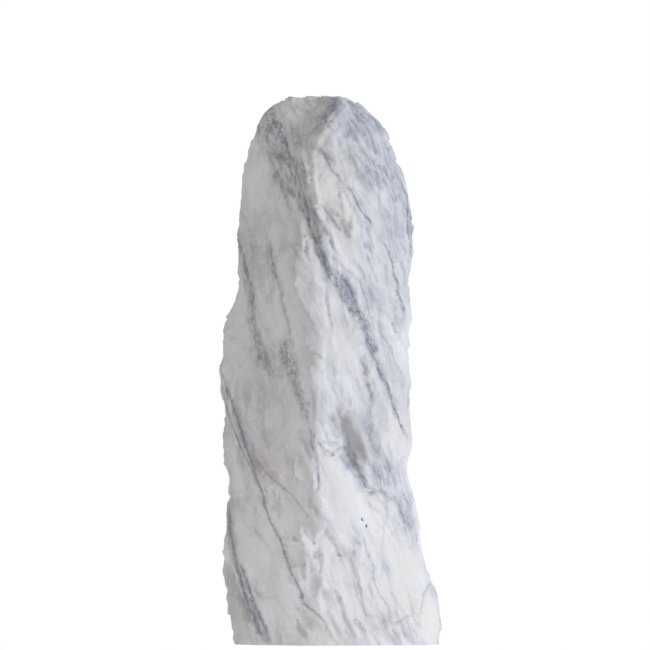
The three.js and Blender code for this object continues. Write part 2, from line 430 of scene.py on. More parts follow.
streak_place = along_beds(look, place, stretch=4.0)
streaks = noise(look, streak_place, scale=34.0, detail=4.0, roughness=0.6)
fibres = noise(look, streak_place, scale=110.0, detail=3.0, roughness=0.6)
mottle = noise(look, place, scale=210.0, detail=3.0, roughness=0.7)
crystals = noise(look, place, scale=380.0, detail=2.0)
clots = noise(look, place, scale=85.0, detail=5.0, roughness=0.68)
gaps = noise(look, place, scale=38.0, detail=3.0, roughness=0.6)
MOTTLE_SHARE = 0.35
CRYSTAL_SHARE = 0.25
FIBRE_SHARE = 0.40
grain = sums(look, "MULTIPLY_ADD", mottle, MOTTLE_SHARE, times(look, crystals, CRYSTAL_SHARE))
grain = sums(look, "MULTIPLY_ADD", fibres, FIBRE_SHARE, grain)

# The vein sheets run straight back from the front, waver with the beds, and twist as they go on
# behind the side edges.
EDGE_SOFTNESS = 0.03
SHEET_TWIST = 24.0
SHEET_LEAN = 0.3
BED_WAVER = 0.005
past_edge = sums(look, "SUBTRACT", place_y, EDGE_PLANE)
behind = add(look, "ShaderNodeMath", (past_edge, 0.0, EDGE_SOFTNESS), operation="SMOOTH_MAX")
with_beds = sums(look, "MULTIPLY_ADD", streaks, BED_WAVER, -BED_WAVER / 2)
sheet_x = sums(look, "MULTIPLY_ADD", behind, SHEET_LEAN, sums(look, "ADD", place_x, with_beds))
sheet_z = times(look, times(look, behind, place_x), SHEET_TWIST)
sheet_z = sums(look, "ADD", sheet_z, sums(look, "ADD", place_z, with_beds))
sheet_place = add(look, "ShaderNodeCombineXYZ", (sheet_x, 0.0, sheet_z))

WAVER = [(0.050, 0.009, 2.0), (0.013, 0.0056, 2.0), (0.006, 0.0030, 1.0)]  # size, reach, detail
wavering = total(look, [lumps(look, place, *each) for each in WAVER])
line_x = sums(look, "ADD", sheet_x, wavering)
line_z = sums(look, "ADD", sheet_z, wavering)

profile = bpy.data.node_groups.new("vein_profile", "ShaderNodeTree")
PROFILE_INPUTS = (
    "Off", "Along", "Core Low", "Core High", "Band Low", "Band High",
    "Halo Low", "Halo High", "Flat", "Dark", "Cloud", "Breaks", "Gaps", "Grain",
)
for name in PROFILE_INPUTS:
    profile.interface.new_socket(name, in_out="INPUT", socket_type="NodeSocketFloat")
profile.interface.new_socket("Stain", in_out="OUTPUT", socket_type="NodeSocketVector")
given = profile.nodes.new("NodeGroupInput").outputs

LEAST_WIDTH = 0.2  # as shares of the width that is asked for
WIDTH_SWELL = 1.6
RAGGED = 0.008  # how far the grain moves the edges of a line
FADE_IN = (-0.02, 0.10)  # as shares of the way along a vein
FADE_OUT = (0.88, 1.02)
BREAK = (0.44, 0.56)  # at these values of the gaps a core begins to break and is broken
CORE_FLAT = 0.35  # the share of its width over which a core or a band is at its darkest
BAND_FLAT = 0.25


def width_of(tier):
    """A tier's width goes evenly from its lower to its upper end, and swells and shrinks on the way."""
    feeds = {"Value": given["Along"], "To Min": given[tier + " Low"], "To Max": given[tier + " High"]}
    even = add(profile, "ShaderNodeMapRange", feeds, clamp=False)
    swell = sums(profile, "MULTIPLY_ADD", given["Gaps"], WIDTH_SWELL, LEAST_WIDTH)
    return times(profile, even, swell)


off_line = sums(profile, "ABSOLUTE", given["Off"])
off_grain = sums(profile, "SUBTRACT", given["Grain"], 0.5)
grainy = sums(profile, "MULTIPLY_ADD", off_grain, RAGGED, off_line)
present = sums(
    profile,
    "MULTIPLY",
    fade(profile, given["Along"], *FADE_IN),
    fade(profile, given["Along"], *FADE_OUT, low=1.0, high=0.0),
)
gone = times(profile, fade(profile, given["Gaps"], *BREAK), given["Breaks"])
unbroken = times(profile, present, sums(profile, "SUBTRACT", 1.0, gone))
core_width = width_of("Core")
core_start = times(profile, core_width, CORE_FLAT)
core = fade(profile, grainy, core_start, core_width, low=given["Dark"], high=0.0)
core = times(profile, core, unbroken)
band_width = width_of("Band")
band_start = times(profile, band_width, BAND_FLAT)
band = fade(profile, grainy, band_start, band_width, low=given["Dark"], high=0.0)
band = times(profile, band, present)
halo_width = width_of("Halo")
halo_start = times(profile, halo_width, given["Flat"])
halo = fade(profile, off_line, halo_start, halo_width, low=given["Cloud"], high=0.0)
halo = times(profile, halo, present)
stain = add(profile, "ShaderNodeCombineXYZ", (core, band, halo))
result = profile.nodes.new("NodeGroupOutput")
profile.links.new(stain, result.inputs["Stain"])


def vein(line, core, band, halo, dark, cloud, breaks, lying=False, flat=0.0):
    """A vein through points (z, x), or (x, z) if it is lying. Each width has its lower and upper end."""
    line = sorted((way / MILLIMETRES, side / MILLIMETRES) for way, side in line)
    ways = [point[0] for point in line]
    places = [point[1] for point in line]
    low, high = min(ways), max(ways)
    margin = 1 / MILLIMETRES  # a straight line needs a range too
    least, most = min(places) - margin, max(places) + margin
    run = {"Value": sheet_x if lying else sheet_z, "From Min": low, "From Max": high}
    along = add(look, "ShaderNodeMapRange", run, clamp=False)
    course = look.nodes.new("ShaderNodeFloatCurve")
    points = course.mapping.curves[0].points
    while len(points) > 2:
        points.remove(points[-1])
    for index, (way, side) in enumerate(line):
        spot_on = ((way - low) / (high - low), (side - least) / (most - least))
        if index in (0, len(line) - 1):
            points[0 if index == 0 else len(points) - 1].location = spot_on
        else:
            points.new(*spot_on)
    course.mapping.update()
    look.links.new(along, course.inputs["Value"])
    ends = {"Value": course.outputs[0], "To Min": least, "To Max": most}
    centre = add(look, "ShaderNodeMapRange", ends, clamp=False)
    off = sums(look, "SUBTRACT", line_z if lying else line_x, centre)
    widths = [width / MILLIMETRES for width in (*core, *band, *halo)]
    feeds = (off, along, *widths, flat, dark, cloud, breaks, gaps, grain)  # as in PROFILE_INPUTS
    return add(look, "ShaderNodeGroup", feeds, node_tree=profile, out="Stain")


VEINS = {
    "main_high": dict(
        line=[
            (925, -39), (955, -48), (979, -55), (1012, -63), (1038, -72), (1071, -85), (1104, -97),
            (1121, -107), (1139, -121), (1156, -134),
        ],
        core=(1.8, 4.2), band=(4.8, 9.0), halo=(10.0, 18.0), dark=0.62, cloud=0.60, breaks=0.08,
    ),
    "band_left": dict(
        line=[
            (940, -74), (962, -90), (988, -98), (1027, -114), (1060, -125), (1093, -133), (1143, -146),
        ],
        core=(1.9, 2.5), band=(6.6, 8.7), halo=(15.3, 19.7), dark=0.40, cloud=0.50, breaks=0.45,
    ),
    "main_middle": dict(
        line=[(789, 7), (809, -2), (831, -10), (855, -19), (885, -29), (912, -40), (947, -46)],
        core=(2.2, 1.8), band=(9.0, 6.0), halo=(17.5, 15.0), dark=0.70, cloud=0.45, breaks=0.05,
    ),
    "main_twin": dict(
        line=[(831, -15), (855, -24), (879, -33), (903, -43)],
        core=(1.9, 1.9), band=(8.7, 6.6), halo=(13.1, 13.1), dark=0.45, cloud=0.35, breaks=0.30,
    ),
    "main_low": dict(
        line=[
            (446, 177), (457, 168), (477, 157), (507, 146), (536, 136), (560, 129), (579, 120),
            (597, 111), (619, 103), (640, 96), (658, 90), (682, 81), (708, 72), (726, 63), (748, 52),
            (759, 44), (776, 31), (794, 17), (804, 2),
        ],
        core=(2.0, 2.4), band=(5.7, 8.7), halo=(8.7, 17.5), dark=0.79, cloud=0.45, breaks=0.10,
    ),
    "knot": dict(
        line=[(620, 98), (654, 88), (689, 78), (741, 53), (789, 26), (830, -8)],
        core=(2.0, 2.6), band=(11.0, 34.0), halo=(16.0, 42.0), dark=0.80, cloud=0.55, breaks=0.70,
    ),
    "net": dict(
        line=[(636, 103), (667, 94), (700, 83), (732, 68), (759, 50)],
        core=(1.6, 2.0), band=(10.0, 12.0), halo=(19.7, 21.9), dark=0.55, cloud=0.45, breaks=0.85,
    ),
    "knot_right": dict(
        line=[(684, 98), (715, 90), (748, 81), (772, 74), (798, 66)],
        core=(1.6, 1.6), band=(4.4, 4.4), halo=(10.9, 10.9), dark=0.38, cloud=0.35, breaks=0.45,
    ),
    "right_high": dict(
        line=[
            (907, 96), (931, 83), (947, 68), (973, 57), (995, 44), (1016, 26), (1027, 17), (1032, 9),
            (1054, -2), (1071, -9), (1093, -22),
        ],
        core=(1.7, 1.7), band=(5.7, 6.6), halo=(13.0, 15.0), dark=0.70, cloud=0.45, breaks=0.55,
    ),
    "right_low": dict(
        line=[
            (713, 168), (739, 160), (765, 153), (791, 149), (809, 140), (831, 136), (863, 125),
            (894, 107),
        ],
        core=(1.8, 1.8), band=(5.2, 5.2), halo=(10.9, 10.9), dark=0.85, cloud=0.35, breaks=0.20,
    ),
    "right_soft": dict(
        line=[(901, 26), (925, 9), (944, -4), (966, -20)],
        core=(2.5, 2.2), band=(6.6, 6.6), halo=(13.1, 13.1), dark=0.41, cloud=0.35, breaks=0.30,
    ),
    "right_short": dict(
        line=[(885, 44), (931, 28)],
        core=(2.2, 2.2), band=(5.7, 5.7), halo=(10.9, 10.9), dark=0.41, cloud=0.30, breaks=0.20,
    ),
    "right_faint": dict(
        line=[(791, 107), (813, 96), (831, 90), (850, 85)],
        core=(1.9, 1.9), band=(5.2, 5.2), halo=(10.9, 10.9), dark=0.36, cloud=0.30, breaks=0.30,
    ),
    "right_edge": dict(
        line=[
            (850, 184), (881, 179), (907, 175), (940, 171), (977, 173), (1006, 166), (1038, 155),
            (1071, 140),
        ],
        core=(2.4, 2.4), band=(5.7, 5.2), halo=(10.9, 8.7), dark=0.85, cloud=0.35, breaks=0.35,
    ),
    "crown_right": dict(
        line=[(1067, 103), (1097, 94), (1124, 85), (1135, 70)],
        core=(1.9, 2.0), band=(5.2, 5.7), halo=(10.9, 10.9), dark=0.65, cloud=0.35, breaks=0.30,
    ),
    "crown_far_right": dict(
        line=[(1145, 61), (1183, 50), (1194, 24)],
        core=(1.9, 1.9), band=(5.2, 5.2), halo=(10.9, 10.9), dark=0.38, cloud=0.30, breaks=0.30,
    ),
    "left_edge": dict(
        line=[
            (656, -157), (706, -164), (748, -168), (776, -173), (809, -179), (837, -188), (894, -197),
        ],
        core=(2.2, 2.0), band=(6.6, 8.7), halo=(21.9, 9.0), dark=0.50, cloud=0.50, breaks=0.65,
    ),
    "ochre_side": dict(
        line=[
            (662, -85), (710, -92), (743, -101), (769, -105), (794, -111), (809, -116), (831, -122),
            (863, -127), (890, -133),
        ],
        core=(1.9, 2.2), band=(5.2, 5.2), halo=(15.3, 8.7), dark=0.50, cloud=0.35, breaks=0.40,
    ),
    "left_middle": dict(
        line=[
            (479, -46), (494, -50), (516, -57), (538, -63), (562, -70), (586, -79), (606, -85),
            (640, -94), (676, -101),
        ],
        core=(2.6, 2.0), band=(8.0, 30.0), halo=(15.0, 34.0), dark=0.58, cloud=0.45, breaks=0.45,
    ),
    "low_left": dict(
        line=[
            (0, 20), (24, 7), (39, -2), (55, -13), (68, -26), (83, -44), (98, -57), (116, -61),
            (136, -70), (164, -83), (197, -96), (227, -105), (247, -116), (273, -129), (295, -138),
            (328, -145), (361, -157), (396, -167), (431, -180), (457, -188), (481, -196), (516, -207),
            (544, -218), (568, -228), (588, -237), (610, -245),
        ],
        core=(1.8, 2.4), band=(4.6, 6.0), halo=(8.7, 10.0), dark=0.62, cloud=0.30, breaks=0.05,
    ),
    "low_left_twin": dict(
        line=[
            (367, -162), (400, -177), (433, -193), (466, -206), (503, -219), (536, -229), (562, -237),
            (592, -243),
        ],
        core=(2.0, 2.2), band=(3.4, 3.4), halo=(6.0, 6.0), dark=0.60, cloud=0.25, breaks=0.20,
    ),
    "low_left_branch": dict(
        line=[
            (271, -42), (295, -55), (317, -72), (334, -90), (350, -107), (365, -125), (387, -144),
            (411, -160),
        ],
        core=(1.4, 2.4), band=(3.4, 5.0), halo=(6.6, 9.0), dark=0.42, cloud=0.35, breaks=0.15,
    ),
    "foot_left": dict(
        line=[
            (7, -145), (44, -160), (72, -169), (103, -180), (138, -191), (175, -201), (212, -208),
            (251, -216), (310, -221),
        ],
        core=(2.8, 2.5), band=(8.0, 6.0), halo=(15.0, 13.1), dark=0.74, cloud=0.55, breaks=0.15,
    ),
    "foot_left_twin": dict(
        line=[(0, -129), (28, -139), (55, -149), (83, -160), (116, -172), (146, -183), (186, -197)],
        core=(2.8, 2.0), band=(9.8, 6.6), halo=(13.1, 10.9), dark=0.72, cloud=0.55, breaks=0.10,
    ),
    "beside_hollow": dict(
        line=[(444, 92), (492, 87), (525, 92), (557, 90), (588, 81), (614, 72)],
        core=(2.8, 2.8), band=(8.7, 8.7), halo=(17.5, 15.3), dark=0.38, cloud=0.30, breaks=0.70,
    ),
    "under_hollow": dict(
        line=[
            (332, 90), (334, 107), (345, 81), (361, 72), (383, 63), (398, 55), (411, 44), (424, 31),
        ],
        core=(1.6, 2.0), band=(8.0, 11.0), halo=(13.1, 13.1), dark=0.62, cloud=0.45, breaks=0.50,
    ),
    "right_rim": dict(
        line=[(273, 164), (299, 155), (317, 144), (324, 120)],
        core=(3.7, 3.5), band=(8.7, 8.7), halo=(15.3, 15.3), dark=0.56, cloud=0.40, breaks=0.15,
    ),
    "right_foot": dict(
        line=[
            (48, 136), (70, 133), (85, 129), (103, 116), (122, 105), (146, 98), (173, 94), (190, 87),
            (219, 79), (240, 74),
        ],
        core=(1.9, 1.6), band=(5.2, 4.8), halo=(8.0, 8.0), dark=0.42, cloud=0.15, breaks=0.20,
    ),
    "far_right_foot": dict(
        line=[(61, 199), (94, 203), (120, 212), (142, 225)],
        core=(1.6, 1.6), band=(4.4, 4.4), halo=(8.7, 8.7), dark=0.34, cloud=0.12, breaks=0.30,
    ),
    "foot_middle": dict(
        line=[(55, 85), (85, 72), (111, 61), (142, 55), (175, 52), (212, 50)],
        core=(2.2, 2.5), band=(6.6, 6.6), halo=(13.1, 13.1), dark=0.20, cloud=0.25, breaks=0.50,
    ),
    "facet_foot": dict(
        line=[
            (-28, 446), (-17, 433), (-4, 420), (7, 418), (17, 426), (31, 428), (46, 422), (61, 409),
        ],
        core=(1.4, 1.4), band=(8.0, 10.0), halo=(15.0, 18.0),
        dark=0.62, cloud=0.30, breaks=0.60, lying=True,
    ),
    "rim_foot": dict(
        line=[(81, 341), (94, 332), (109, 337), (125, 324), (146, 317), (160, 304)],
        core=(1.4, 1.8), band=(8.0, 11.0), halo=(15.0, 18.0),
        dark=0.60, cloud=0.35, breaks=0.45, lying=True,
    ),
    "foot_knee": dict(
        line=[(-63, 94), (-48, 85), (-28, 70), (-15, 59)],
        core=(1.9, 1.9), band=(5.2, 5.2), halo=(8.7, 8.7), dark=0.54, cloud=0.30, breaks=0.10, lying=True,
    ),
    "foot_right_ends": dict(
        line=[(111, 31), (129, 55), (146, 48), (173, 63), (186, 61)],
        core=(1.6, 1.6), band=(4.8, 4.8), halo=(10.9, 10.9),
        dark=0.36, cloud=0.15, breaks=0.50, lying=True,
    ),
    "grey_band": dict(
        line=[
            (970, -62), (984, -67), (1027, -79), (1082, -102), (1126, -121), (1159, -137), (1190, -150),
        ],
        core=(1.6, 1.6), band=(22.0, 15.0), halo=(36.0, 19.0),
        dark=0.22, cloud=0.62, breaks=0.80, flat=0.70,
    ),
    "grey_band_foot": dict(
        line=[(798, 8), (815, 2), (866, -10), (916, -26), (945, -44), (1020, -76)],
        core=(1.6, 1.6), band=(5.0, 20.0), halo=(8.0, 28.0),
        dark=0.24, cloud=0.62, breaks=0.80, flat=0.60,
    ),
    "cluster_left": dict(
        line=[(579, -111), (601, -129), (634, -146), (667, -157), (719, -173)],
        core=(1.4, 1.4), band=(26.0, 12.0), halo=(30.0, 18.0), dark=0.50, cloud=0.35, breaks=0.80,
    ),
    "below_left_middle": dict(
        line=[(350, -20), (385, -28), (430, -34), (480, -46)],
        core=(1.8, 1.8), band=(7.0, 7.0), halo=(14.0, 14.0), dark=0.25, cloud=0.50, breaks=0.50,
    ),
}


def strongest(parts, kind="ShaderNodeMath"):
    """The strongest of the parts at each place, taken up one by one as they are made."""
    parts = iter(parts)
    most = next(parts)
    for part in parts:
        most = add(look, kind, (most, part), operation="MAXIMUM")
    return most


stains = strongest((vein(**sizes) for sizes in VEINS.values()), "ShaderNodeVectorMath")
cores = add(look, "ShaderNodeSeparateXYZ", (stains,), out="X")
clumps = add(look, "ShaderNodeMix", {"Factor": fade(look, place_z, 0.84, 0.92), "A": clots, "B": fibres})
bands = times(look, cores.node.outputs["Y"], fade(look, clumps, 0.42, 0.64, low=0.10, high=0.85))
halos = cores.node.outputs["Z"]
grained = times(look, cores, fade(look, grain, 0.40, 0.58, low=0.50, high=1.0))
lines = sums(look, "MAXIMUM", grained, bands)
lines = times(look, lines, fade(look, behind, 0.02, 0.10, low=1.0, high=0.55))

# Clouds of grey, dark spots, patches with little grey and brown stains, all of them ovals: x, z,
# lean in degrees, reach across, reach along, share. Some grey and brown ovals are painted shade
# instead: the hollow's shadow, the shade on the slivers' risers, on the foot's lens and along the
# grey band's edge. Some dark spots are painted shade in the foot's pits, slits, lenses and dishes,
# and one pale patch is a painted highlight on lit slivers.
CLOUDS_AND_SHADE = {
    "crown_left": (-155, 1130, 10, 15, 44, 0.80),
    "scoop": (-20, 1150, 20, 70, 80, 0.34),
    "upper_right": (103, 1043, 20, 70, 90, 0.75),
    "crest_right": (98, 1140, 40, 30, 50, 0.52),
    "right_side": (175, 960, 12, 30, 120, 0.60),
    "below_crest": (60, 1060, 25, 30, 60, 0.45),
    "band_right": (-72, 1110, 15, 20, 50, 0.60),
    "neck_right": (83, 890, 12, 18, 80, 0.45),
    "far_right": (150, 880, 8, 45, 220, 0.45),
    # painted shadow: the hollow's shadow, laid on as grey ovals along its valley, its top and its ends
    "hollow_shadow": (46, 430, 18, 15, 70, 0.50),
    "crest_mottle": (70, 1135, 20, 30, 42, 0.65),
    "shoulder_right": (142, 1010, 15, 22, 50, 0.65),
    # the first of these is partly the vein under the hollow and partly painted shadow at the valley's foot
    "hollow_end_vein_and_shade": (64, 365, 25, 20, 40, 0.60),
    "hollow_end_left_shade": (40, 402, 25, 18, 32, 1.00),
    "hollow_foot_end_shade": (75, 362, 30, 14, 30, 0.80),
    "hollow_start_shade": (8, 476, 18, 18, 34, 0.55),
    "beside_main_middle": (12, 830, 18, 18, 60, 0.45),
    "right_low_side": (150, 720, 12, 18, 55, 0.60),
    "band_low": (-66, 1015, 14, 16, 55, 0.50),
    "scoop_foot": (-45, 1095, 10, 22, 50, 0.35),
    "crown_right": (85, 1100, 15, 18, 50, 0.45),
    "facet_grey": (66, 960, 20, 26, 55, 0.60),
    "right_faint": (83, 845, 15, 14, 34, 0.45),
    "above_hollow": (82, 612, 10, 14, 30, 0.45),
    "foot_thread": (86, 180, 12, 12, 30, 0.45),
    "arris_foot": (-24, 1078, -4, 14, 24, 0.50),
    "crown_far": (20, 1185, 60, 12, 30, 0.60),
    "below_bay": (80, 1116, 20, 22, 40, 0.60),
    "foot_knee": (-36, 52, 35, 20, 30, 0.50),
    "right_rim_foot": (150, 250, 15, 18, 60, 0.40),
    "right_high_top": (2, 1056, 18, 12, 30, 0.75),
    "under_scoop": (16, 1128, -30, 12, 26, 0.70),
    "ridge_grey": (12, 600, 8, 16, 90, 0.60),
    "left_rim_low": (-212, 145, 8, 14, 50, 0.60),
    "foot_far_left": (-176, 85, 24, 22, 75, 1.00),
    "foot_left_grey": (-160, 118, 20, 16, 40, 0.40),
    # painted shade along the right edge of the grey band, beside the ridge
    "band_edge_shade": (-59, 1027, 13, 12, 46, 0.90),
    "crown_front": (58, 1122, 20, 20, 36, 0.40),
    "arris_right": (-18, 1034, 5, 16, 40, 0.25),
    "scoop_end": (11, 1174, -40, 14, 26, 0.80),
    # painted shade on the dark sliver facets left of the ridge
    "sliver_facet_shade": (-85, 388, 25, 8, 30, 0.30),
    "stroke_patch": (-115, 304, 30, 20, 16, 0.35),
    "foot_right_mark": (128, 169, 15, 12, 24, 0.20),
    "foot_cluster": (85, 50, 35, 26, 36, 0.15),
    # painted shade on the foot's left lens
    "foot_fold": (-55, 75, 20, 24, 40, 0.35),
    "crown_bump": (58, 1125, 20, 34, 50, 0.60),
    "crown_bay": (64, 1145, 35, 40, 40, 0.75),
    "edge_cloud": (145, 980, 20, 22, 34, 0.60),
    "waist_right": (150, 900, 15, 30, 60, 0.30),
    "shoulder_left": (-171, 925, 15, 30, 70, 0.10),
    "left_face": (-108, 600, 15, 48, 105, 0.30),
    "left_strip": (-181, 837, 18, 24, 80, 0.08),
    "knot": (30, 785, 25, 26, 44, 0.80),
    "below_knot": (72, 710, 22, 24, 52, 0.45),
    "blot_left": (-145, 632, 20, 34, 46, 0.50),
    "blot_middle": (-80, 610, 15, 22, 48, 0.50),
    "beside_hollow": (96, 514, 5, 18, 55, 0.25),
    "low_left_mottle": (-129, 422, 22, 28, 60, 0.20),
    # painted shade on the dark sliver facets at the ridge's foot
    "ridge_sliver_shade": (-81, 343, 20, 28, 50, 0.15),
    "right_of_hollow": (118, 375, 18, 50, 100, 0.70),
    "right_rim": (170, 285, 10, 30, 90, 0.80),
    "grey_oval": (-43, 150, 12, 18, 42, 0.45),
    "foot_right": (120, 55, 40, 20, 30, 0.10),
    "above_knot": (95, 760, 25, 34, 70, 0.40),
    "beside_main": (125, 650, 18, 24, 90, 0.30),
    "foot_left": (-188, 116, 14, 12, 75, 0.40),
    "foot_pair": (-166, 70, 26, 15, 85, 0.90),
    "left_rim": (-214, 230, 6, 12, 90, 0.35),
    "pale_blue_facet": (4, 440, 70, 10, 28, 0.30),
}
SPOTS_AND_PIT_SHADE = {
    "facet_end": (44, 413, 40, 6.0, 11.0, 0.60),
    "speck_high": (72, 275, 20, 2.2, 3.4, 1.10),
    "speck_low": (81, 259, 10, 2.2, 3.6, 1.10),
    "speck_right": (164, 268, 0, 2.2, 3.4, 1.00),
    "smudge_left": (-109, 284, 20, 6.0, 9.0, 0.30),
    "smudge_dark": (-74, 234, 25, 6.5, 10.0, 0.60),
    # painted shade in the foot's pit, in its slot and under its ledge
    "pit_shade_high": (-30, 195, 40, 9.0, 11.0, 0.42),
    "ledge_shade_arc": (26, 197, 82, 4.5, 15.0, 0.45),
    "slot_shade": (53, 201, 0, 5.0, 12.0, 0.35),
    "stroke_a": (-134, 314, 8, 3.2, 9.0, 0.50),
    "stroke_b": (-120, 329, 12, 3.2, 10.0, 0.42),
    "stroke_c": (-108, 324, 10, 3.0, 9.0, 0.38),
    # painted shade in the foot's lenses, slit and folds
    "lens_edge_shade": (26, 104, 25, 4.2, 14.0, 0.42),
    "lens_left_shade": (-8, 112, 12, 4.0, 16.0, 0.32),
    "slit_shade": (51, 200, 4, 3.4, 13.0, 0.40),
    "fold_edge_shade": (66, 46, 24, 4.0, 18.0, 0.35),
    "fold_low_shade": (40, 28, 30, 3.6, 20.0, 0.30),
    "cluster_a": (92, 64, 40, 5.0, 12.0, 0.20),
    "cluster_b": (104, 38, 70, 4.6, 12.0, 0.18),
    "cluster_c": (76, 36, 20, 4.6, 11.0, 0.26),
    # painted shade in a dish and a small lens of the foot
    "foot_dish_shade": (56, 52, 25, 6.0, 14.0, 0.45),
    "small_lens_shade": (-11, 120, 15, 4.0, 7.0, 0.40),
    "band_spot": (-42, 1032, 20, 6.0, 11.0, 0.55),
    "neck_spot": (77, 870, 10, 5.0, 8.0, 0.45),
    "middle_spot": (-44, 525, 10, 5.0, 7.0, 0.45),
    "low_spot": (-31, 457, 10, 4.5, 8.0, 0.45),
    "right_spot": (90, 448, 10, 5.0, 7.0, 0.40),
    "ochre_spot": (-85, 667, 10, 4.5, 6.0, 0.55),
}
PALE = {
    "pale_strip": (-160, 1020, 6, 30, 110, 0.75),
    "pale_wedge": (-42, 838, 14, 24, 80, 0.80),
    "scoop_floor": (-22, 1162, -40, 14, 26, 0.60),
    "foot_right_low_pale": (138, 48, 18, 24, 40, 0.60),
    "band_side_pale": (-68, 965, 14, 12, 36, 0.60),
    "band_waist_pale": (-40, 925, 14, 14, 45, 0.60),
    "white_wedge": (0, 720, 8, 14, 70, 0.60),
    "arris_high": (-20, 1104, -32, 14, 34, 0.90),
    # painted highlight: less grey on the slivers that face the light
    "sliver_painted_highlight": (-106, 400, 28, 22, 50, 0.80),
    "left_rim_pale": (-200, 360, 12, 28, 60, 0.80),
    "hollow_right_pale": (82, 440, 15, 12, 50, 0.80),
    "foot_right_pale": (115, 110, 18, 30, 80, 0.90),
    "foot_low_white": (0, 60, 22, 35, 70, 0.80),
    "lens_white": (15, 150, 18, 28, 60, 0.80),
    "under_patch": (30, 245, 22, 36, 50, 0.80),
    "blue_line_left": (-118, 1045, 15, 14, 30, 0.60),
    "neck_facets": (20, 1010, 14, 24, 60, 0.40),
    "below_neck": (30, 880, 20, 40, 60, 0.40),
    "ridge_white": (20, 620, 8, 48, 120, 0.90),
    "left_bulge": (-208, 660, 12, 24, 60, 0.70),
    "hollow_lip": (-6, 480, 10, 16, 40, 0.60),
    "white_patch": (17, 330, 22, 47, 110, 1.00),
    "right_foot_white": (168, 165, 15, 50, 130, 1.00),
    "far_foot_white": (210, 50, 10, 40, 80, 1.00),
    "middle_foot_white": (60, 160, 15, 50, 90, 0.75),
    "ridge_foot_white": (-12, 190, 8, 30, 130, 0.90),
    "left_foot_pale": (-165, 215, 22, 40, 105, 0.70),
    "foot_pale": (-112, 110, 20, 36, 110, 0.60),
    "foot_middle_white": (50, 85, 20, 55, 90, 0.90),
    "beside_high_ridge": (-85, 760, 8, 36, 140, 0.70),
    "left_of_ridge": (-55, 260, 10, 40, 180, 0.90),
    "middle_pale": (100, 210, 20, 30, 60, 0.30),
}
BROWN = {
    "left_foot_edge": (-190, 60, 14, 30, 80, 0.35),
    # painted shade on the left-facing riser of a step between two veins
    "step_shade_between_veins": (-160, 400, 20, 10, 45, 0.70),
    "left_foot_brown": (-206, 80, 10, 26, 90, 0.45),
    # painted shade: the left-facing risers of the slivers by the ridge
    "sliver_riser_shade": (-50, 436, 22, 10, 36, 0.45),
    "sliver_riser_shade_low": (-33, 300, 22, 10, 36, 0.45),
    "riser_shade_beside_vein": (-131, 383, 34, 10, 46, 0.45),
    # painted shadow: brown ovals that deepen the hollow's shadow
    "hollow_brown_shade": (48, 446, 18, 16, 70, 0.35),
    "hollow_top_shade": (20, 486, 20, 14, 30, 0.35),
    # painted shade on the foot's left lens
    "foot_lens_shade": (-63, 38, 30, 8, 34, 0.60),
    "right_thread": (62, 150, 15, 5, 70, 0.35),
    "left_edge_brown": (-216, 250, 5, 12, 80, 0.50),
}

STREAK_TEAR = 2.2
GRAIN_TEAR = 1.6
TEAR_MIDDLE = -(STREAK_TEAR + GRAIN_TEAR) / 2
OVAL_EDGE = (0.25, 1.15)  # an oval begins to fade and is gone at these shares of its reach
torn = sums(look, "MULTIPLY_ADD", grain, GRAIN_TEAR, TEAR_MIDDLE)
torn = sums(look, "MULTIPLY_ADD", streaks, STREAK_TEAR, torn)


def patch(around, x, z, lean, across, along, share, tear=torn):
    """A soft torn oval round x and z, leaning to the right downwards."""
    off = add(look, "ShaderNodeCombineXYZ", own_frame(look, around, x, z, lean, across, along))
    out = add(look, "ShaderNodeVectorMath", (off,), operation="LENGTH", out="Value")
    return fade(look, sums(look, "ADD", out, tear), *OVAL_EDGE, low=share, high=0.0)


wide_stray = strayed(look, sheet_place, scale=30.0, reach=0.030)
cloud_and_shade_share = strongest(patch(wide_stray, *sizes) for sizes in CLOUDS_AND_SHADE.values())
frayed = times(look, torn, 0.5)
pale = strongest(patch(wide_stray, *sizes, frayed) for sizes in PALE.values())
brown = strongest(patch(wide_stray, *sizes) for sizes in BROWN.values())
close_stray = strayed(look, sheet_place, scale=90.0, reach=0.010)
spots_and_pit_shade = strongest(patch(close_stray, *sizes) for sizes in SPOTS_AND_PIT_SHADE.values())

# Grey comes in streaks along the beds, broken up by the crystals.
stained = noise(look, along_beds(look, place, stretch=1.8), scale=7.0, detail=3.0)
everywhere = fade(look, streaks, 0.36, 0.62, low=0.10, high=0.52)
everywhere = times(look, fade(look, stained, 0.38, 0.64), everywhere)
# The clouds carry the painted shade of the hollow, the slivers and the foot's lens with the real grey.
clouds_and_shade = times(look, strongest([cloud_and_shade_share, halos]), fade(look, streaks, 0.34, 0.62, low=0.60, high=1.15))
clouds_and_shade = times(look, clouds_and_shade, fade(look, grain, 0.42, 0.58, low=0.70, high=1.20))
clouds_and_shade = times(look, clouds_and_shade, fade(look, fibres, 0.36, 0.62, low=0.70, high=1.25))
paled = sums(look, "SUBTRACT", 1.0, pale)
clouds_and_shade = times(look, clouds_and_shade, fade(look, pale, 0.0, 1.0, low=1.0, high=0.5))
grey = sums(look, "MULTIPLY_ADD", everywhere, paled, clouds_and_shade)
grey = sums(look, "MULTIPLY_ADD", sums(look, "SUBTRACT", fibres, 0.5), 0.10, grey)
mottled = fade(look, gaps, 0.36, 0.60, low=0.35, high=1.2)
mottled = times(look, fade(look, clots, 0.46, 0.66, low=0.0, high=0.12), mottled)
grey = sums(look, "MULTIPLY_ADD", mottled, fade(look, pale, 0.0, 1.0, low=1.0, high=0.35), grey)
grey = add(look, "ShaderNodeMath", (grey, 1.0), operation="MULTIPLY", use_clamp=True)
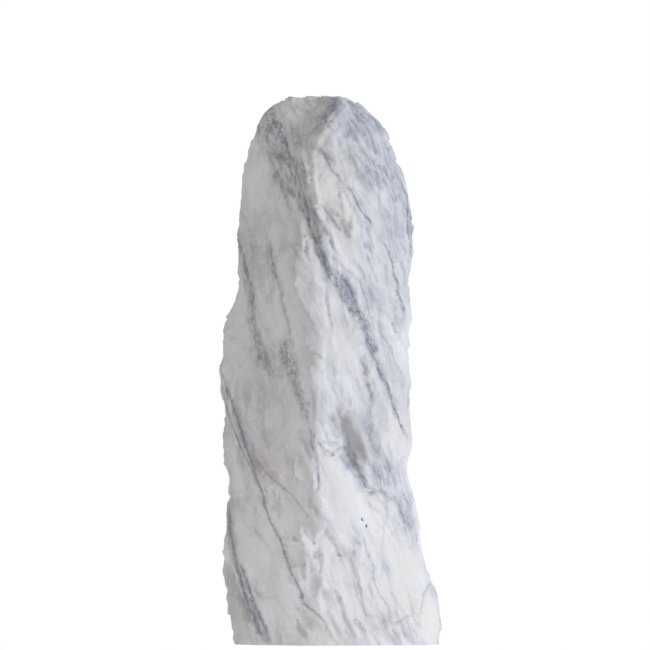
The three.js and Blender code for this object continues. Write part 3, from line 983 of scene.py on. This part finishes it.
# Some of the dark spots are painted shade in the foot's pits, slits and lenses.
dark = sums(look, "MAXIMUM", lines, times(look, spots_and_pit_shade, fade(look, clots, 0.36, 0.58, low=0.40, high=1.0)))


def blend(share, one, other):
    """Mixes two colours."""
    return add(look, "ShaderNodeMix", {"Factor": share, "A": one, "B": other}, data_type="RGBA")


warmth = noise(look, place, scale=5.0, detail=2.0)
colour = blend(fade(look, warmth, 0.42, 0.66), WHITE, WARM)
colour = blend(grey, colour, blend(fade(look, sheet_x, -0.04, 0.04), CLOUD_LEFT, CLOUD_RIGHT))
# The brown is partly stain and partly painted shade in the hollow and on the slivers' risers.
colour = blend(brown, colour, DUN)
colour = blend(dark, colour, VEIN)
RUST_STREAK = (-135, 852, 8, 3.2, 34, 0.65)
colour = blend(patch(close_stray, *RUST_STREAK), colour, RUST)
# painted highlight: a pale blue line where a ridge below the crown catches the light
RIDGE_HIGHLIGHT_LINE = dict(
    line=[
        (1000, -50), (1040, -60), (1100, -86), (1126, -90), (1143, -100), (1161, -106), (1182, -118),
    ],
    core=(1.4, 5.6), band=(0.0, 0.0), halo=(0.0, 0.0),
    dark=1.00, cloud=0.00, breaks=0.50,
)
ridge_highlight_line = add(look, "ShaderNodeSeparateXYZ", (vein(**RIDGE_HIGHLIGHT_LINE),), out="X")
colour = blend(ridge_highlight_line, colour, PAINTED_HIGHLIGHT_BLUE)
sparkle = fade(look, crystals, 0.30, 0.70, low=0.955, high=1.035)
colour = scaled(look, colour, sparkle)

surface = look.nodes.new("ShaderNodeBsdfPrincipled")
look.links.new(colour, surface.inputs["Base Color"])
surface.inputs["Subsurface Weight"].default_value = 0.06
surface.inputs["Subsurface Radius"].default_value = (1.0, 0.85, 0.7)
surface.inputs["Subsurface Scale"].default_value = 0.004
look.links.new(fade(look, mottle, 0.3, 0.7, low=0.55, high=0.72), surface.inputs["Roughness"])
sugary = sums(look, "ADD", crystals, sums(look, "ADD", mottle, fibres))
bump = add(look, "ShaderNodeBump", {"Strength": 0.5, "Distance": 0.0012, "Height": sugary})
look.links.new(bump, surface.inputs["Normal"])
output = look.nodes.new("ShaderNodeOutputMaterial")
look.links.new(surface.outputs[0], output.inputs["Surface"])


# ---- The finished stone ----
# The relief is struck into the block's faces, and then the saw takes the waste off its foot.

working = stone.modifiers.new("relief", "NODES")
working.node_group = relief
sockets = {item.name: item.identifier for item in relief.interface.items_tree if item.in_out == "INPUT"}
for name, value in RELIEF.items():
    working[sockets[name]] = value
working[sockets["Stone"]] = marble
stone.data = finished_mesh(stone)
stone.modifiers.clear()

body = bmesh.new()
body.from_mesh(stone.data)
everything = body.verts[:] + body.edges[:] + body.faces[:]
bmesh.ops.bisect_plane(body, geom=everything, plane_co=(0, 0, 0), plane_no=(0, 0, -1), clear_outer=True)
sawn_edge = [edge for edge in body.edges if edge.is_boundary]
sawn = bmesh.ops.contextual_create(body, geom=sawn_edge)
for face in body.faces:
    face.smooth = True
for face in sawn["faces"]:
    face.smooth = False
for edge in sawn_edge:
    edge.smooth = False
body.normal_update()
body.to_mesh(stone.data)
body.free()

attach(stone, "root")
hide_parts("boulder")


# ---- The studio ----
# A round white glass table, lit from below, in a white room. A large cool softbox stands far round
# to the right and rakes over the faces, and a small plain one fills in from the upper left.

WHITE_TO_CAMERA = 1.0  # the room and the table are pure white where the camera sees them
ROOM_LIGHT = 0.27
TABLE_LIGHT = 0.30


def plain_white(tree, stone_sees, end):
    """Pure white for the camera, and a weaker light of its own for the stone."""
    kind = "ShaderNodeBackground" if end.type == "OUTPUT_WORLD" else "ShaderNodeEmission"
    seen = tree.nodes.new(kind)
    seen.inputs["Color"].default_value = (1, 1, 1, 1)
    seen.inputs["Strength"].default_value = WHITE_TO_CAMERA
    ray = tree.nodes.new("ShaderNodeLightPath")
    either = tree.nodes.new("ShaderNodeMixShader")
    tree.links.new(ray.outputs["Is Camera Ray"], either.inputs[0])
    tree.links.new(stone_sees, either.inputs[1])
    tree.links.new(seen.outputs[0], either.inputs[2])
    tree.links.new(either.outputs[0], end.inputs["Surface"])


TABLE_REACH = 1.5
TABLE_SIDES = 96
turn = [2 * math.pi * side / TABLE_SIDES for side in range(TABLE_SIDES)]
rim = [(TABLE_REACH * math.cos(angle), TABLE_REACH * math.sin(angle), 0) for angle in turn]
table_mesh = bpy.data.meshes.new("white_table")
table_mesh.from_pydata(rim, [], [tuple(range(TABLE_SIDES))])
table = bpy.data.objects.new("white_table", table_mesh)
bpy.context.scene.collection.objects.link(table)
glass = bpy.data.materials.new("lit_white")
glass.use_nodes = True
cover = glass.node_tree.nodes["Principled BSDF"]
cover.inputs["Base Color"].default_value = (0.85, 0.85, 0.85, 1)
cover.inputs["Roughness"].default_value = 0.9
cover.inputs["Specular IOR Level"].default_value = 0.1
cover.inputs["Emission Color"].default_value = (1, 1, 1, 1)
cover.inputs["Emission Strength"].default_value = TABLE_LIGHT
plain_white(glass.node_tree, cover.outputs[0], glass.node_tree.nodes["Material Output"])
table.data.materials.append(glass)

room = bpy.data.worlds.new("room")
room.use_nodes = True
dim = room.node_tree.nodes["Background"]
dim.inputs["Color"].default_value = (0.97, 0.98, 1.0, 1)
dim.inputs["Strength"].default_value = ROOM_LIGHT
plain_white(room.node_tree, dim.outputs[0], room.node_tree.nodes["World Output"])
bpy.context.scene.world = room


def softbox(name, place, aim, width, height, power, colour):
    """A square light that faces a point."""
    lamp = bpy.data.lights.new(name, "AREA")
    lamp.shape = "RECTANGLE"
    lamp.size, lamp.size_y = width, height
    lamp.energy = power
    lamp.color = colour
    stand = bpy.data.objects.new(name, lamp)
    stand.location = place
    stand.rotation_euler = (Vector(aim) - Vector(place)).to_track_quat("-Z", "Y").to_euler()
    bpy.context.scene.collection.objects.link(stand)


COOL = (0.88, 0.92, 1.0)
PLAIN = (1.0, 0.99, 0.99)
softbox("key", (3.30, -1.25, 1.90), (0, 0, 0.60), width=1.4, height=2.0, power=92, colour=COOL)
softbox("fill", (-2.20, -1.60, 2.30), (0, 0, 1.00), width=1.0, height=1.0, power=20, colour=PLAIN)

# The camera stands far off, level with the upper middle of the stone.
VIEW_WIDTH = 1.421  # what the picture takes in at the stone
CAMERA_AWAY = 45.0
CAMERA_HEIGHT = 0.6985
CAMERA_SIDE = -0.009
SENSOR = 36.0
lens = bpy.data.cameras.new("camera")
lens.sensor_width = SENSOR
lens.lens = SENSOR * CAMERA_AWAY / VIEW_WIDTH
lens.clip_end = 200.0  # past the far side of the room's table
camera = bpy.data.objects.new("camera", lens)
camera.location = (CAMERA_SIDE, EDGE_PLANE - CAMERA_AWAY, CAMERA_HEIGHT)
camera.rotation_euler = (math.radians(90), 0, 0)
bpy.context.scene.collection.objects.link(camera)
bpy.context.scene.camera = camera
bpy.context.scene.view_settings.view_transform = "Standard"
